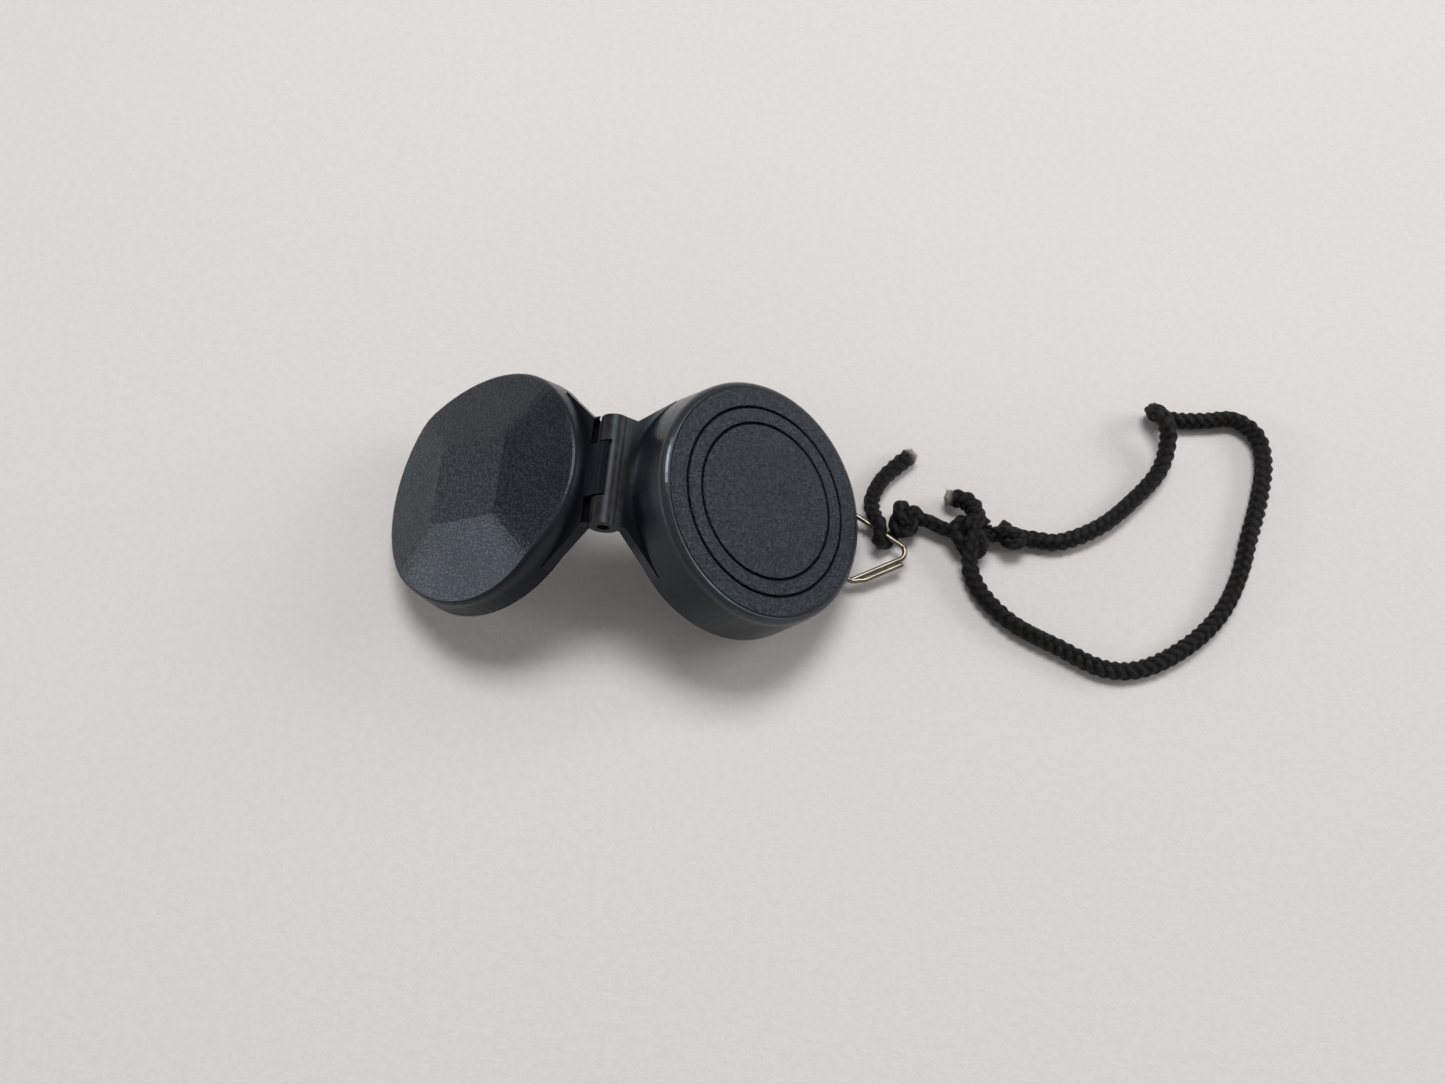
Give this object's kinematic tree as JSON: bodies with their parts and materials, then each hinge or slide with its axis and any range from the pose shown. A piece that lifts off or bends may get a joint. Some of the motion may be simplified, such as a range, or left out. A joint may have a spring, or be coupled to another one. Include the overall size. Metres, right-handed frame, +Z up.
{
  "type": "folding pocket compass",
  "caption": "Folding pocket compass with a faceted lid, pinned hinge, needle capsule, wire ring and knotted wrist cord, opened like a tent and lying face down.",
  "frame": {"origin": "middle of the footprint of the case with its wire ring, on the surface it stands on; the cord is left out", "axes": "+X from the lid to the base and its wire ring, +Y along the hinge pin, +Z up"},
  "size_m": [0.1701, 0.06, 0.0341],
  "materials": {
    "base_plastic": "black moulded plastic with a fine spark texture on the back and polished edges",
    "lid_plastic": "black moulded plastic with a leather-like grain on the facets",
    "pin_steel": "plain steel",
    "wire_nickel": "nickel-plated wire, a little tarnished",
    "dial_paper": "off-white printed card",
    "brass": "turned brass",
    "needle_steel": "steel with one half painted red and the other white",
    "window_clear": "clear polished pane",
    "mirror": "silvered glass",
    "cord": "black braided cord with melted ends"
  },
  "bodies": {
    "base": {"base_case": "base_plastic", "hinge_pin": "pin_steel", "dial_card": "dial_paper", "pivot_pin": "brass", "window": "window_clear", "bezel_ring": "base_plastic"},
    "lid": {"lid_shell": "lid_plastic", "lid_mirror": "mirror"},
    "needle": {"needle_cap": "brass", "compass_needle": "needle_steel"},
    "bail": {"bail_ring": "wire_nickel", "cord_tail": "cord", "ring_knot": "cord", "cord_lead": "cord", "loop_knot": "cord", "cord_end": "cord", "stopper_knot": "cord", "lanyard_loop": "cord"}
  },
  "joints": [
    {"name": "lid_hinge", "type": "hinge", "parent": "base", "child": "lid", "pos_m": [-0.00669, 0, 0.02798], "axis": [0, -1, 0], "range_deg": [0, 110]},
    {"name": "needle_pivot", "type": "hinge", "parent": "base", "child": "needle", "pos_m": [0.01461, 0, 0.01307], "axis": [0.5736, 0, 0.8192], "continuous": true},
    {"name": "bail_swing", "type": "hinge", "parent": "base", "child": "bail", "pos_m": [0.03649, 0, 0.00263], "axis": [0, -1, 0], "range_deg": [-60, 40]}
  ]
}
